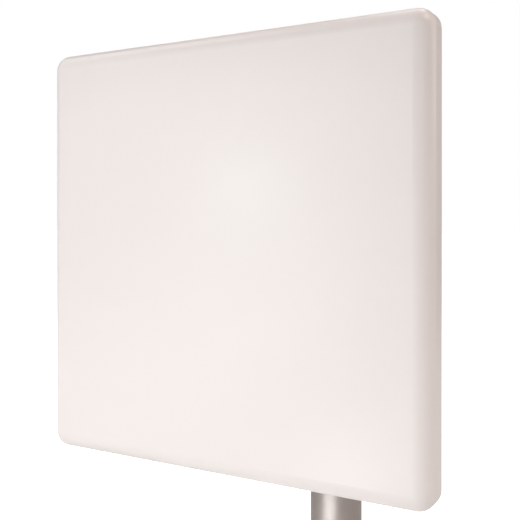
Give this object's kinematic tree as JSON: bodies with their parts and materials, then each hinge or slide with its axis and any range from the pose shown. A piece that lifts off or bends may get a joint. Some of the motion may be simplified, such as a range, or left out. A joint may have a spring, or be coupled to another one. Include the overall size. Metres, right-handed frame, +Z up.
{
  "type": "flat panel antenna",
  "caption": "Square flat panel antenna with a rounded moulded radome, on a tilting and swinging bracket clamped to a round mast.",
  "frame": {"origin": "on the mast's axis, at the mast's lower end", "axes": "+Z up along the mast; at rest the panel's front face looks along -Y and its width runs along X"},
  "size_m": [0.371, 0.2045, 0.5155],
  "materials": {
    "radome_plastic": "glossy moulded, warm white",
    "seal_rubber": "matte black",
    "plate_aluminium": "brushed sheet",
    "stainless_fastener": "turned",
    "feed_brass": "rolled sheet",
    "patch_aluminium": "rolled sheet",
    "nylon": "natural nylon",
    "nickel_plate": "nickel plated",
    "ptfe": "turned, waxy",
    "contact_gold": "gold flashed",
    "dark_plastic": "moulded, fine texture",
    "label_foil": "blank printed film",
    "zinc_fastener": "zinc plated",
    "cast_alloy": "powder coated casting",
    "jaw_alloy": "bare casting",
    "mast_metal": "satin drawn tube"
  },
  "bodies": {
    "mast": {"mast_tube": "mast_metal", "mast_cap": "dark_plastic"},
    "clamp": {"mast_bracket": "cast_alloy", "v_jaws": "jaw_alloy", "u_bolts": "zinc_fastener", "u_bolt_washers": "zinc_fastener", "u_bolt_lock_washers": "zinc_fastener", "u_bolt_nuts": "zinc_fastener", "azimuth_bolt": "zinc_fastener", "azimuth_washers": "zinc_fastener", "azimuth_nut": "zinc_fastener"},
    "knuckle_arm": {"knuckle": "cast_alloy", "tilt_pivot_bolt": "zinc_fastener", "tilt_pivot_washers": "zinc_fastener", "tilt_pivot_nut": "zinc_fastener", "tilt_lock_bolt": "zinc_fastener", "tilt_lock_washers": "zinc_fastener", "tilt_lock_nut": "zinc_fastener"},
    "panel": {"radome": "radome_plastic", "radome_gasket": "seal_rubber", "rear_plate": "plate_aluminium", "cover_screws": "stainless_fastener", "feed_network": "feed_brass", "upper_patches": "patch_aluminium", "patch_posts": "nylon", "patch_clips": "nylon", "connector_gasket": "seal_rubber", "connector_body": "nickel_plate", "connector_insulator": "ptfe", "connector_contact": "contact_gold", "connector_screws": "stainless_fastener", "vent_plug": "dark_plastic", "rear_label": "label_foil", "mounting_studs": "zinc_fastener", "stud_washers": "zinc_fastener", "stud_lock_washers": "zinc_fastener", "stud_nuts": "zinc_fastener", "panel_bracket": "cast_alloy"}
  },
  "joints": [
    {"name": "mast_swivel", "type": "hinge", "parent": "mast", "child": "clamp", "pos_m": [0, 0, 0.33], "axis": [0, 0, 1], "continuous": true},
    {"name": "azimuth_knuckle", "type": "hinge", "parent": "clamp", "child": "knuckle_arm", "pos_m": [-0.0332, -0.0692, 0.33], "axis": [0, 0, 1], "range_deg": [-70.6, 19.4]},
    {"name": "panel_tilt", "type": "hinge", "parent": "knuckle_arm", "child": "panel", "pos_m": [-0.0332, -0.1092, 0.33], "axis": [1, 0, 0], "range_deg": [-30, 30]}
  ]
}
